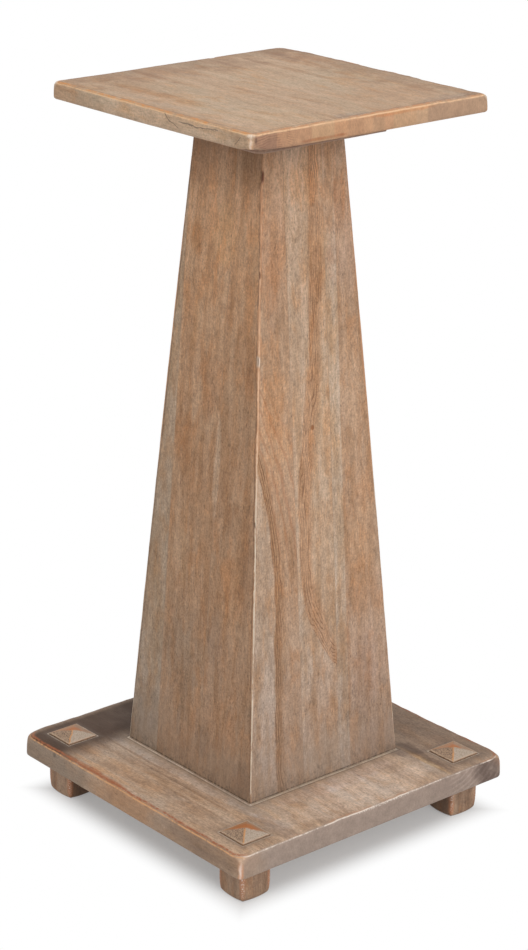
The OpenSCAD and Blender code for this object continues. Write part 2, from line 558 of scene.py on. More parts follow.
def makePost(name, node, seed):
    low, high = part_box(node)
    under, over = (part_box("base_board")[i].z for i in (0, 1))
    stud = postPlaces()[1]
    middle = (low + high) / 2
    bm = block(low, Vector((high.x, high.y, under)))
    crown = max(bm.faces, key=lambda f: f.calc_center_median().z)
    bmesh.ops.inset_region(bm, faces=[crown], thickness=high.x - middle.x - stud, use_even_offset=True)
    raised = bmesh.ops.extrude_face_region(bm, geom=[crown])
    bmesh.ops.delete(bm, geom=[crown], context="FACES_ONLY")
    top = [v for v in raised["geom"] if isinstance(v, bmesh.types.BMVert)]
    bmesh.ops.translate(bm, vec=(0, 0, over + cornerPost["rim"] - under), verts=top)
    crown = max(bm.faces, key=lambda f: f.calc_center_median().z)
    apex = bmesh.ops.poke(bm, faces=[crown])["verts"][0]
    apex.co.z = high.z
    shoulders = [e for e in uprightEdges(bm) if max(v.co.z for v in e.verts) < under + mm]
    easeEdges(bm, shoulders, cornerPost["upright"], 4)
    easeEdges(bm, levelEdges(bm, low.z), cornerPost["floorEdge"], 4)
    for axis in (0, 1):
        slices(bm, axis, evenly(low[axis], high[axis], cornerPost["cell"]))
    slices(bm, 2, evenly(low.z, high.z, cornerPost["cell"]))
    wear = dict(cornerPost["wear"], seed=seed)
    wearFoot([v for v in bm.verts if v.co.z < under - mm], low, Vector((high.x, high.y, under)), wear)
    for vert in bm.verts:  # the pyramid's point and hips are rubbed blunt
        if vert.co.z > over:
            share = max(0.0, 1 - (vert.co - middle).xy.length / cornerPost["bluntReach"])
            vert.co.z -= cornerPost["blunt"] * share ** 2
            vert.co.z += cornerPost["lumps"] * lumps(vert.co, (0.006, 0.006, 0.006), seed)
    finishPiece(name, bm, postMaterial(name, middle, stud, under, over, seed), "post_wood", node)


def wearFoot(verts, low, high, wear):  # upright edges rubbed round, more towards the floor
    for vert in verts:
        co = vert.co.copy()
        inward = [1 if co[i] - low[i] < high[i] - co[i] else -1 for i in (0, 1)]
        gap = [min(co[i] - low[i], high[i] - co[i]) for i in (0, 1)]
        share = 1 - (gap[0] + gap[1]) / wear["reach"]
        drop = min(1.0, (high.z - co.z) / (0.4 * (high.z - low.z)))
        tipShare = 1 - (gap[0] + gap[1] + co.z - low.z) / wear["tipReach"]
        if tipShare > 0:
            vert.co += Vector((inward[0], inward[1], 1)) * wear["tipDepth"] * tipShare * tipShare
        if share > 0:
            depth = wear["depth"] * drop * share * (0.8 + 0.5 * lumps(co, wear["lumps"], wear["seed"]))
            vert.co.x += inward[0] * depth
            vert.co.y += inward[1] * depth


def steps(value, places, levels, soft=0.3 * mm):  # a level for each strip between the places
    total = levels[0]
    for place, before, after in zip(places, levels, levels[1:]):
        total = rise(value, place - soft, place + soft, 0.0, after - before) + total
    return total


def tintSteps(value, places, tints, soft=0.3 * mm):
    color = tints[0]
    for place, tint in zip(places, tints[1:]):
        color = mix(rise(value, place - soft, place + soft), color, tint)
    return color


def patches(color, point, first, second, spots, seed, within=1.0):
    # soft areas of another tint: (place along first, along second, half its size each way, tint)
    wobble = (noiseAt(point, 0.022, seed, 3.0, 0.6) - 0.5) * 3.0
    for a, b, halfA, halfB, tint in spots:
        partA = (first - a) * (1 / halfA)
        partB = (second - b) * (1 / halfB)
        reach = partA * partA + partB * partB + wobble
        color = mix(fall(reach, 0.1, 1.4) * within, color, tint, "MULTIPLY")
    return color


def crackLine(color, point, split, high, cracks, within):  # dark splits along the front edge
    wander = (noiseAt(point, 0.006, 3.9) - 0.5) * 0.004
    for start, end, above, below in cracks:
        slope = (below - above) / (end - start)
        depth = (split[0] - start) * slope + above
        away = split[2] + depth - high.z + wander
        line = fall(abs(away), 0.1 * mm, 0.9 * mm) * within
        line = line * rise(split[0], start - 2 * mm, start) * fall(split[0], end, end + 2 * mm)
        color = mix(line * 0.65, color, "463d38")
    return color


boardLook = {
    "light": "c7a88b", "dark": "bd9c7e", "warm": "c39468", "washColor": "bba993", "fleckColor": "80654c",
    "paleColor": "dcc8ae", "streak": 0.014, "cloud": 0.055, "wash": 0.5, "warmth": 0.45, "contrast": 0.72,
    "flecks": 0.20, "sway": 0.02, "dashes": 0.35, "dashColor": "6a5442", "blotch": 0.9,
    "blotchTint": (0.90, 0.87, 0.83)}


def roundedGap(toX, toY, radius):  # distance in from an outline with rounded corners, up to radius
    parts = [calc("MAXIMUM", radius - value, 0.0) for value in (toX, toY)]
    reach = calc("SQRT", parts[0] * parts[0] + parts[1] * parts[1])
    return radius - reach


def edgeBands(color, point, toSide, toTop, look, seed, where):
    # round an upper edge: across is negative on top, positive on the side, zero in the middle of the round
    across = toTop - toSide
    near = fall(toTop + toSide, 0.01, 0.013) * where
    wobble = (noiseAt(point, 0.03, seed, 3.0, 0.6) - 0.5) * 0.01
    patchy = noiseAt(point, 0.045, seed + 3, 3.0, 0.65)
    fine = noiseAt(point, 0.0035, seed + 4, 3.0, 0.6)
    at, width, start, tint = look["worn"]
    worn = band(across + wobble, at, width, 0.003) * rise(patchy, start, start + 0.12) * near
    color = mix(worn * rise(fine, 0.34, 0.6, 0.35, 1.0), color, tint)
    # rim: a pale line along the round, worn wood with a painted highlight
    at, width, start, tint = look["rim"]
    rim = band(across + wobble * 0.3, at, width, 0.0016) * near
    rim = rim * rise(patchy * 0.45 + fine * 0.55, start, start + 0.15, look["rimLeast"], 1.0)
    return mix(rim, color, tint)


def endRings(point, split, centre, spacing, seed):  # growth rings round a centre (y, z)
    offset = [(split[i] - c) * w for i, c, w in ((1, centre[0], 0.7), (2, centre[1], 1.0))]
    reach = calc("SQRT", offset[0] * offset[0] + offset[1] * offset[1])
    wobble = noiseAt(point, 0.02, seed) * 0.006
    turns = (reach + wobble) * (2 * math.pi / spacing)
    return rise(calc("SINE", turns), -0.2, 0.9)


def distances(split, low, high):
    toX = high.x - abs(split[0])
    toY = high.y - abs(split[1])
    toTop = high.z - split[2]
    toUnder = split[2] - low.z
    return toX, toY, toTop, toUnder


# worn and rim: how far round the edge, how wide, how much of its length is missing, colour
topEdges = {
    "front": {
        "worn": (-1.9 * mm, 4.4 * mm, 0.40, "d3935a"), "rim": (0.8 * mm, 1.4 * mm, 0.38, "e8bf94"),
        "rimLeast": 0.35},
    "side": {
        "worn": (-1.6 * mm, 3.4 * mm, 0.36, "c78f68"), "rim": (1.0 * mm, 2.0 * mm, 0.36, "ecc39a"),
        "rimLeast": 0.45}}

# the end grain changes from strip to strip: where each starts, and its tint
endStrips = {
    "places": [-0.119, -0.077, -0.050, -0.033, -0.013, -0.002, 0.013, 0.024, 0.053, 0.068],
    "tints": [
        (0.72, 0.70, 0.74), (0.92, 0.88, 0.86), (1.02, 1.06, 1.03), (1.06, 1.0, 0.94), (0.94, 0.90, 0.87),
        (1.05, 1.03, 1.0), (0.95, 0.96, 0.96), (1.03, 1.0, 0.98), (1.03, 1.08, 1.07), (1.05, 1.14, 1.18),
        (0.85, 0.92, 1.0)]}

# areas of the top: (x, y, half length, half width, tint)
topPatches = (
    (-0.155, 0.0, 0.07, 0.25, (0.78, 0.74, 0.72)), (-0.03, 0.150, 0.20, 0.06, (0.78, 0.72, 0.68)),
    (-0.10, -0.105, 0.08, 0.04, (0.92, 0.87, 0.83)), (-0.03, -0.108, 0.10, 0.008, (0.92, 0.82, 0.70)),
    (0.0, -0.131, 0.13, 0.006, (0.94, 0.96, 1.0)), (0.11, -0.09, 0.05, 0.05, (1.06, 1.06, 1.05)),
    (0.12, 0.05, 0.06, 0.08, (0.97, 0.93, 0.90)), (0.144, 0.10, 0.014, 0.035, (0.84, 0.87, 0.94)),
    (0.146, -0.025, 0.012, 0.022, (0.85, 0.88, 0.95)), (-0.06, 0.071, 0.085, 0.005, (0.84, 0.78, 0.73)),
    (-0.11, 0.038, 0.05, 0.004, (0.86, 0.80, 0.76)), (-0.11, -0.058, 0.05, 0.004, (0.86, 0.80, 0.76)),
    (0.03, -0.030, 0.07, 0.004, (0.90, 0.85, 0.80)), (-0.147, 0.0, 0.004, 0.17, (0.80, 0.73, 0.68)),
    (0.0, 0.143, 0.17, 0.006, (0.84, 0.79, 0.75)), (0.02, 0.105, 0.10, 0.005, (1.07, 1.04, 0.98)))
topSidePatches = (
    (0.02, 0.756, 0.10, 0.02, (1.28, 1.34, 1.42)), (-0.13, 0.756, 0.05, 0.02, (1.0, 0.94, 0.90)),
    (0.131, 0.757, 0.004, 0.006, (0.92, 0.88, 0.84)))
topEndPatches = (
    (-0.1425, 0.7575, 0.0020, 0.0042, (0.42, 0.42, 0.46)),
    (-0.125, 0.752, 0.018, 0.006, (0.90, 0.88, 0.90)), (0.035, 0.7625, 0.05, 0.003, (1.02, 0.84, 0.70)),
    (-0.06, 0.7500, 0.03, 0.002, (0.80, 0.62, 0.52)))


# a band of colour up each upright corner: rubbed wood in orange, a painted highlight in pale colours
def cornerWearAndHighlight(color, toX, toY, point, pale, width, seed, least=0.15):
    wobble = noiseAt(point, 0.008, seed + 1) - 0.5
    along = toX - toY + wobble * 0.006
    near = fall(toX + toY, 0.006, 0.01)
    fine = noiseAt(point, (0.005, 0.005, 0.008), seed)
    rub = band(along, 0.0, width, 0.004) * near * rise(fine, 0.36, 0.6, least, 0.9)
    return mix(rub, color, pale)


def topMaterial(low, high):
    material, point, split = startMaterial("topWood")
    toX, toY, toTop, toUnder = distances(split, low, high)
    color, height, cloud, fibre = weathered(point, 0, 2.3, boardLook)
    onTop = fall(toTop, 0.5 * mm, 3.0 * mm)
    onSide = fall(toY, 0.8 * mm, 2.4 * mm)
    color = patches(color, point, split[0], split[1], topPatches, 4.4, onTop)
    color = mix(onSide, color, (0.96, 0.97, 0.97), "MULTIPLY")
    color = patches(color, point, split[0], split[2], topSidePatches, 5.4, onSide)
    # end grain on the two sides across the grain
    end = fall(toX, 1.0 * mm, 2.6 * mm)
    rings = endRings(point, split, (-0.12, high.z - 0.036), 2.1 * mm, 4.5)
    ringShare = rise(abs(split[1] + 0.122), 0.016, 0.032, 0.3, 0.04)
    ringShare = ringShare * rise(noiseAt(point, 0.009, 6.7), 0.35, 0.65, 0.1, 1.4)
    endColor = mix(rings * ringShare, mix(cloud, "c49775", "cfa583"), "8a604c")
    endColor = mix(1.0, endColor, tintSteps(split[1], endStrips["places"], endStrips["tints"], 1.2 * mm),
                   "MULTIPLY")
    speck = noiseAt(point, (0.0016, 0.0016, 0.003), 7.7, 2.0, 0.7)
    blot = noiseAt(point, 0.008, 8.7, 3.0, 0.6)
    endColor = tone(endColor, 0.5 + speck * 0.5 + blot * 0.5)
    endColor = patches(endColor, point, split[1], split[2], topEndPatches, 6.4)
    color = mix(end, color, endColor)
    # a darker brown line just in from the top's edges: painted shade where the round starts
    inside = calc("MINIMUM", toX, toY) - fibre * 0.004
    brim = band(inside, 3.0 * mm, 2.4 * mm, 1.6 * mm) * onTop * rise(blot, 0.3, 0.6, 0.15, 0.55)
    color = mix(brim, color, "8d6c51")
    toEdge = roundedGap(toX, toY, 12 * mm)
    byFront = rise(toX - toY, -3 * mm, 3 * mm)
    byEnd = 1.0 - byFront
    color = edgeBands(color, point, toEdge, toTop, topEdges["front"], 1.3, byFront)
    color = edgeBands(color, point, toEdge, toTop, topEdges["side"], 2.9, byEnd)
    lower = band(toUnder, 0.5 * mm, 1.4 * mm, 1 * mm) * 0.45
    color = mix(lower, color, "cf9c6c")
    color = crackLine(color, point, split, high, topBoard["cracks"], onSide)
    # the upright corners are rubbed orange, with a white painted highlight up each corner and a painted
    # highlight flaring at the top
    color = cornerWearAndHighlight(color, toX, toY, point, "d49c6e", 6.0 * mm, 4.1)
    color = cornerWearAndHighlight(color, toX, toY, point, "f6e6d4", 2.6 * mm, 5.1, 0.5)
    tipHighlight = fall(toX + toY + toTop * 0.8, 8 * mm, 11.5 * mm) * rise(speck, 0.4, 0.6, 0.35, 0.95)
    color = mix(tipHighlight, color, "f0dcc6")
    return finishMaterial(material, color, height, dullness(cloud))


def plateMaterial(low):
    material, point, split = startMaterial("plateWood")
    look = dict(boardLook, light="a07f6c", dark="7d6052", wash=0.3)
    color, height, cloud, fibre = weathered(point, 0, 9.4, look)
    toUnder = split[2] - low.z
    # a pale painted highlight along the plate's lower edge
    color = mix(band(toUnder, 0.3 * mm, 2.4 * mm, 1 * mm) * 0.7, color, "b0917f")
    return finishMaterial(material, color, height, 0.65, 0.3 * mm)


columnLook = {
    "light": "c3a083", "dark": "b18a69", "warm": "bf8c62", "washColor": "b09a85", "fleckColor": "6f5540",
    "paleColor": "d8bd9e", "streak": 0.010, "cloud": 0.042, "wash": 0.35, "warmth": 0.5, "contrast": 1.0,
    "flecks": 0.34, "sway": 0.012, "blotch": 0.9, "blotchTint": (0.85, 0.80, 0.74), "dashes": 0.6,
    "dashColor": "4e3c30"}

grey, brown, rosy, plain = (1.06, 1.17, 1.30), (0.88, 0.80, 0.70), (0.98, 0.96, 0.95), (1.0, 1.0, 1.0)

# across is measured from left to right on a face, seen from outside. staves are the glue lines; strips are
# where the tint changes; levels are painted light and shade up the face's height: (height, level). A flame is
# the arched grain of one stave: curve gives its edge (height, place across), width how far it runs
sides = {
    "front": {
        "turn": 0, "seed": 1.5, "shadow": 0.6, "staves": (-0.053, 0.0155),
        "nicks": (
            (0.694, 5 * mm, 2.2 * mm, "5d3325"), (0.5165, 5 * mm, 3.0 * mm, "d6c2ae"),
            (0.60, 3 * mm, 2 * mm, "6b4330"), (0.5165, 3.5 * mm, 1.8 * mm, "8a6248"),
            (0.355, 3 * mm, 1.8 * mm, "5d4334")),
        "strips": (-0.053, 0.0155), "tints": ((0.91, 1.0, 1.07), (0.98, 0.92, 0.85), (0.95, 0.89, 0.82)),
        "low": (0.89, 0.95, 1.04),
        "levels": (
            (0.065, 0.98), (0.12, 0.93), (0.25, 0.90), (0.45, 0.98), (0.58, 1.15), (0.645, 1.26),
            (0.69, 1.03), (0.725, 0.84)),
        "patches": (
            (0.0155, 0.40, 0.005, 0.055, (1.18, 1.36, 1.60)),
            # the darker patch at the head, by the near arris, is painted shade under the top board
            (0.045, 0.712, 0.035, 0.040, (0.82, 0.79, 0.74)),
            (-0.045, 0.69, 0.02, 0.025, (0.86, 0.84, 0.82)), (0.058, 0.46, 0.008, 0.07, (0.86, 0.82, 0.78)),
            (0.070, 0.30, 0.010, 0.06, (0.88, 0.85, 0.82)),
            (-0.005, 0.475, 0.012, 0.04, (0.90, 0.84, 0.78)),
            (-0.03, 0.53, 0.006, 0.03, (1.08, 1.08, 1.06)), (0.02, 0.105, 0.012, 0.02, (0.82, 0.84, 0.87)),
            (0.085, 0.085, 0.014, 0.022, (0.80, 0.80, 0.82)),
            (-0.028, 0.30, 0.006, 0.04, (1.08, 1.10, 1.10)), (0.006, 0.63, 0.018, 0.03, (1.07, 1.06, 1.0)),
            (-0.052, 0.455, 0.003, 0.035, (1.15, 1.2, 1.25)),
            (-0.035, 0.62, 0.014, 0.02, (0.86, 0.78, 0.68)), (-0.03, 0.40, 0.014, 0.04, (0.95, 0.88, 0.80)),
            (0.045, 0.35, 0.012, 0.02, (0.86, 0.82, 0.78)), (0.05, 0.27, 0.022, 0.035, (1.07, 1.02, 0.95)),
            (0.03, 0.22, 0.012, 0.03, (0.88, 0.88, 0.90)), (-0.02, 0.25, 0.02, 0.03, (1.06, 1.02, 0.97)),
            (0.045, 0.13, 0.02, 0.03, (1.05, 1.0, 0.95)), (-0.075, 0.10, 0.02, 0.04, (0.90, 0.93, 0.97)),
            (-0.067, 0.20, 0.014, 0.07, (1.0, 0.96, 0.90)), (-0.024, 0.20, 0.030, 0.09, (0.84, 0.88, 0.91)),
            (0.05, 0.52, 0.01, 0.03, (0.9, 0.86, 0.82))),
        "flames": (),
        "dents": (
            (None, 0.694, 6 * mm, 1.3 * mm), (None, 0.5165, 4 * mm, 0.8 * mm),
            (None, 0.60, 3 * mm, 0.5 * mm), (None, 0.33, 3 * mm, 0.5 * mm))},
    "right": {
        "turn": 90, "seed": 2.6, "shadow": 0.0, "staves": (-0.028, 0.0215),
        "nicks": ((0.694, 5 * mm, -2.4 * mm, "6a3a2a"), (0.5165, 4 * mm, -1.6 * mm, "e4d2c0")),
        "strips": (-0.028, 0.0215, 0.0355), "tints": (rosy, plain, (1.12, 1.28, 1.46), (0.99, 0.98, 0.99)),
        "low": (0.92, 1.0, 1.13),
        "levels": (
            (0.065, 0.90), (0.11, 0.86), (0.17, 0.90), (0.30, 0.92), (0.42, 1.0), (0.62, 1.02),
            (0.68, 1.16), (0.71, 1.2), (0.725, 1.0)),
        "patches": (
            (0.055, 0.30, 0.02, 0.05, (1.06, 1.02, 0.96)), (0.05, 0.46, 0.012, 0.07, (1.05, 1.04, 1.02)),
            (0.062, 0.36, 0.01, 0.02, (1.08, 1.0, 0.92)), (0.06, 0.16, 0.02, 0.05, (0.95, 0.96, 1.0)),
            (-0.05, 0.60, 0.015, 0.05, (0.97, 0.94, 0.92)), (-0.05, 0.45, 0.020, 0.06, (1.10, 1.03, 0.94)),
            (0.043, 0.66, 0.008, 0.03, (0.95, 0.9, 0.86)), (-0.002, 0.438, 0.0022, 0.003, (0.6, 0.42, 0.3)),
            (0.029, 0.68, 0.010, 0.09, (0.91, 0.80, 0.72)), (0.031, 0.19, 0.009, 0.10, (0.90, 0.82, 0.74)),
            (-0.002, 0.13, 0.025, 0.06, (0.95, 0.90, 0.86)), (-0.045, 0.62, 0.02, 0.07, (1.05, 1.05, 1.08)),
            (0.028, 0.47, 0.008, 0.08, (1.03, 1.02, 1.00)), (0.012, 0.50, 0.006, 0.08, (1.07, 1.09, 1.10)),
            (0.07, 0.085, 0.03, 0.025, (0.93, 0.95, 1.0)), (-0.06, 0.095, 0.035, 0.03, (1.08, 1.10, 1.13)),
            (0.065, 0.21, 0.025, 0.07, (1.07, 1.05, 1.05)), (0.055, 0.62, 0.03, 0.06, (1.02, 1.02, 1.06)),
            (0.006, 0.30, 0.010, 0.06, (0.97, 0.94, 0.91))),
        "flames": (
            {
                "from": -0.11, "to": -0.028, "width": 0.012, "lines": 3.1 * mm, "deep": 0.85, "outer": 0.3,
                "curve": (
                    (0.065, -0.065), (0.15, -0.064), (0.22, -0.060), (0.275, -0.058), (0.325, -0.0605),
                    (0.375, -0.068), (0.42, -0.080), (0.50, -0.114), (0.56, -0.150), (0.725, -0.20)),
                "before": grey, "inside": brown, "beyond": plain},
            {
                "from": -0.028, "to": 0.0215, "width": 0.018, "lines": 2.6 * mm, "deep": 0.62, "outer": 0.0,
                "curve": (
                    (0.065, 0.200), (0.15, 0.060), (0.185, 0.018), (0.225, -0.007), (0.275, -0.022),
                    (0.33, -0.025), (0.375, -0.023), (0.425, -0.017), (0.475, -0.0095), (0.525, -0.0035),
                    (0.60, 0.0005), (0.725, 0.003)),
                "before": (1.11, 1.19, 1.28), "inside": (1.08, 1.0, 0.93), "beyond": (1.10, 1.17, 1.23)}),
        "dents": ((None, 0.62, 3 * mm, 0.5 * mm), (0.058, 0.125, 2 * mm, 0.5 * mm))},
    "back": {
        "turn": 180, "seed": 3.7, "shadow": 0.3, "staves": (-0.041, 0.030), "nicks": (),
        "strips": (-0.041, 0.030), "tints": (plain, rosy, (1.02, 1.08, 1.14)), "low": (0.92, 0.98, 1.06),
        "levels": ((0.065, 0.96), (0.12, 1.0), (0.60, 1.0), (0.725, 1.0)), "patches": (),
        "flames": (
            {
                "from": -0.041, "to": 0.030, "width": 0.016, "lines": 3.0 * mm, "deep": 0.4, "outer": 0.1,
                "curve": (
                    (0.065, -0.070), (0.20, -0.030), (0.33, -0.012), (0.46, -0.006), (0.60, -0.012),
                    (0.725, -0.03)),
                "before": plain, "inside": brown, "beyond": grey},),
        "dents": ((None, 0.41, 4 * mm, 0.7 * mm),)},
    "left": {
        "turn": 270, "seed": 4.8, "shadow": 0.3, "staves": (-0.020, 0.046), "nicks": (),
        "strips": (-0.020, 0.046), "tints": ((0.96, 0.93, 0.90), (1.03, 1.09, 1.16), rosy),
        "low": (0.92, 0.98, 1.06), "levels": ((0.065, 0.96), (0.12, 1.0), (0.60, 1.0), (0.725, 1.0)),
        "patches": (),
        "flames": (
            {
                "from": -0.11, "to": -0.020, "width": 0.014, "lines": 3.4 * mm, "deep": 0.4, "outer": 0.1,
                "curve": ((0.065, -0.050), (0.25, -0.056), (0.40, -0.075), (0.55, -0.12), (0.725, -0.20)),
                "before": plain, "inside": brown, "beyond": plain},),
        "dents": ((None, 0.55, 4 * mm, 0.8 * mm), (None, 0.21, 5 * mm, 0.7 * mm))}}


def columnMaterial(name, side):
    material, point, split = startMaterial(name + "Wood")
    turn = math.radians(side["turn"])
    across = split[0] * round(math.cos(turn)) + split[1] * round(math.sin(turn))
    z = split[2]
    # each stave is its own piece of timber, so the pattern jumps at a glue line
    jump = steps(across, side["staves"], [0.0, 1.31, 2.83], 0.05 * mm)
    color, height, cloud, fibre = weathered(moved(point, {2: jump}), 2, side["seed"], columnLook)
    color = mix(1.0, color, tintSteps(across, side["strips"], side["tints"], 0.8 * mm), "MULTIPLY")
    # painted light and shade up the face's height, from the levels
    color = tone(color, curveOf(z, side["levels"], (0.0, 2.0)))
    color = mix(fall(z, 0.09, 0.32), color, side["low"], "MULTIPLY")
    color = patches(color, point, across, z, side["patches"], side["seed"] + 31)
    wander = (noiseAt(point, (0.02, 0.02, 0.07), side["seed"] + 1) - 0.5) * 0.012
    uneven = noiseAt(point, (0.018, 0.018, 0.05), side["seed"] + 33)
    broken = noiseAt(point, (0.005, 0.005, 0.03), side["seed"] + 32)
    for flame in side["flames"]:
        width = flame["width"]
        inStave = rise(across, flame["from"] - 0.2 * mm, flame["from"] + 0.2 * mm)
        inStave = inStave * fall(across, flame["to"] - 0.2 * mm, flame["to"] + 0.2 * mm)
        past = across - curveOf(z, flame["curve"], (-0.21, 0.21)) + wander
        tint = mix(rise(past, -1.5 * mm, 1.5 * mm), flame["before"], flame["inside"])
        tint = mix(rise(past, width - 6 * mm, width + 5 * mm), tint, flame["beyond"])
        color = mix(inStave, color, tint, "MULTIPLY")
        # growth lines follow the edge, crowded near it and broken along their length
        spread = past + (uneven - 0.5) * 0.012
        lines = rise(calc("SINE", spread * (2 * math.pi / flame["lines"])), 0.25, 0.95)
        inside = rise(past, -1.5 * mm, 1.0 * mm) * fall(past, width * 0.7, width)
        deep = lines * inside * flame["deep"] * inStave * rise(broken, 0.36, 0.56, 0.25, 1.0)
        color = mix(deep, color, "6e4a32")
        coarse = rise(calc("SINE", spread * (2 * math.pi / (3 * flame["lines"]))), 0.3, 1.0)
        outside = rise(past, width * 0.6, width) * fall(past, 0.04, 0.06)
        outside = outside * rise(z, 0.27, 0.36) * fall(z, 0.48, 0.56) * inStave
        color = mix(outside * coarse * flame["outer"], color, "a5653d")
    # a fine line at each glue joint
    for stave in side["staves"]:
        seam = band(across, stave, 0.7 * mm, 0.5 * mm) * 0.35
        color = mix(seam, color, "8d7763")
    # grime with painted shade under the plate and down by the base, drifting up in clouds
    onFoot = z - columnLow.z
    foot = fall(onFoot - cloud * 0.05, -0.02, 0.05)
    color = mix(foot * 0.42, color, "95816f")
    dirt = noiseAt(point, (0.0032, 0.0032, 0.0045), side["seed"] + 40, 3.0, 0.7)
    patchy = noiseAt(point, 0.02, side["seed"] + 41)
    # a dark line where the column meets the base: dirt with painted shade in the crease
    color = mix(band(onFoot, 1.9 * mm, 1.1 * mm, 0.9 * mm) * rise(dirt, 0.35, 0.6, 0.15, 0.9), color,
                "4b3f36")
    # darker towards the base in clouds: grime with painted shade by the joint
    grimeAndShadeByFoot = dirt + patchy * 0.5 + onFoot * -14.0
    color = mix(rise(grimeAndShadeByFoot, 0.5, 0.92, 0.0, 0.5), color, "5e5146")
    toPlate = columnHigh.z - z
    # painted shade under the plate, with grime
    color = mix(fall(toPlate, 0.0, 0.04) * 0.12, color, "6e5140")
    # the arris is rubbed to bare orange and pale wood, partly a painted highlight, with a painted shadow line
    # beside it
    slope = (columnHead - columnFoot) / (columnHigh.z - columnLow.z)
    toArris = z * slope + (columnFoot - columnLow.z * slope) - abs(across)
    fine = noiseAt(point, (0.004, 0.004, 0.012), side["seed"] + 20, 3.0, 0.65)
    wide = noiseAt(point, (0.02, 0.02, 0.06), side["seed"] + 21)
    reach = toArris + (wide - 0.5) * 0.004 + (fine - 0.5) * 0.0036
    below = rise(toPlate, 0.01, 0.04)  # no arris marks near the plate, where the top board shades the arris
    orange = fall(reach, 0.9 * mm, 2.0 * mm) * below * rise(z, 0.34, 0.46, 0.2, 0.55)
    color = mix(orange, color, "c18259")
    torn = rise(wide * 0.5 + fine * 0.5, 0.38, 0.54, 0.2, 1.0)
    # painted shadow beside the arris: strongest on the front face, none on the lit right face
    shadow = band(reach, 2.4 * mm, 1.4 * mm, 1.2 * mm) * side["shadow"] * below
    shadow = shadow * rise(fine, 0.32, 0.6, 0.35, 1.0)
    color = mix(shadow, color, "5e4635")
    # the pale rubbed line on the arris is worn wood with a painted highlight
    rubbed = mix(rise(z, 0.34, 0.46), "dccdb8", "e8bf9c")
    color = mix(fall(reach, 0.3 * mm, 1.1 * mm) * torn * below, color, rubbed)
    for place, reachUp, deep, code in side["nicks"]:  # small marks in the near arris
        onNear = rise(across * math.copysign(1, deep), 0.0, 0.01)
        nick = band(z + fine * 0.004, place + 0.002, 2 * reachUp, reachUp) * onNear
        nick = nick * rise(toArris, abs(deep) * 0.6, abs(deep), 0.9, 0.0)
        color = mix(nick, color, code)
    color = mix(rise(onFoot, 0.5 * mm, 1.2 * mm, 0.9, 0.0) * rise(patchy, 0.35, 0.6, 0.35, 1.0), color,
                "e0d2bf")
    return finishMaterial(material, color, height, dullness(cloud), 0.26 * mm)


baseLook = dict(
    boardLook, light="c2a68d", dark="ad917a", warm="bb926c", washColor="b0a091", warmth=0.35, contrast=0.95,
    flecks=0.32, dashes=0.6, dashColor="554437", blotchTint=(0.80, 0.78, 0.76))

# areas of the ledge: (x, y, half length, half width, tint)
basePatches = (
    (0.150, 0.0, 0.026, 0.105, (1.26, 1.36, 1.49)), (0.135, 0.106, 0.05, 0.004, (1.06, 0.96, 0.76)),
    (0.125, 0.112, 0.06, 0.005, (0.66, 0.62, 0.60)), (-0.02, -0.133, 0.11, 0.004, (0.86, 0.82, 0.78)),
    (-0.05, -0.152, 0.09, 0.010, (1.08, 1.02, 0.94)), (0.03, -0.126, 0.10, 0.0016, (0.78, 0.74, 0.70)),
    (-0.04, -0.119, 0.08, 0.0018, (0.80, 0.76, 0.73)), (0.06, -0.141, 0.06, 0.0016, (0.84, 0.80, 0.76)),
    (0.0, -0.112, 0.12, 0.007, (1.09, 1.18, 1.31)), (0.118, 0.0, 0.012, 0.10, (1.08, 1.13, 1.24)),
    (0.105, 0.105, 0.02, 0.02, (0.62, 0.60, 0.60)), (0.15, -0.11, 0.03, 0.012, (0.88, 0.9, 0.95)),
    (0.04, 0.15, 0.12, 0.03, (0.95, 0.92, 0.90)), (-0.065, -0.1755, 0.065, 0.0035, (0.80, 0.54, 0.40)),
    (-0.06, -0.168, 0.06, 0.004, (1.05, 0.94, 0.82)), (-0.13, -0.115, 0.03, 0.018, (0.82, 0.82, 0.84)))
baseSidePatches = (
    (-0.14, 0.052, 0.08, 0.05, (0.71, 0.74, 0.76)), (-0.01, 0.052, 0.06, 0.05, (1.10, 0.93, 0.77)),
    (0.13, 0.052, 0.075, 0.05, (0.80, 0.77, 0.74)), (-0.124, 0.060, 0.003, 0.003, (0.6, 0.6, 0.62)),
    (0.12, 0.047, 0.03, 0.006, (0.86, 0.86, 0.88)))
baseEndPatches = (
    (0.176, 0.052, 0.038, 0.08, (0.46, 0.42, 0.41)), (0.12, 0.052, 0.05, 0.08, (0.93, 0.92, 0.92)),
    (0.0, 0.052, 0.3, 0.08, (0.92, 0.90, 0.92)), (-0.165, 0.050, 0.02, 0.03, (1.05, 0.98, 0.9)))

baseEdges = {
    "front": {
        "worn": (-2.6 * mm, 3.2 * mm, 0.30, "9c5d3c"), "rim": (1.2 * mm, 1.8 * mm, 0.40, "d6a273"),
        "rimLeast": 0.25},
    "side": {
        "worn": (-2.4 * mm, 1.6 * mm, 0.46, "b08468"), "rim": (-0.4 * mm, 1.6 * mm, 0.42, "eadbcd"),
        "rimLeast": 0.2}}


def squareGap(split, middle, half):  # distance outside a square seen from above
    away = [abs(split[i] - middle[i]) for i in (0, 1)]
    return calc("MAXIMUM", *away) - half


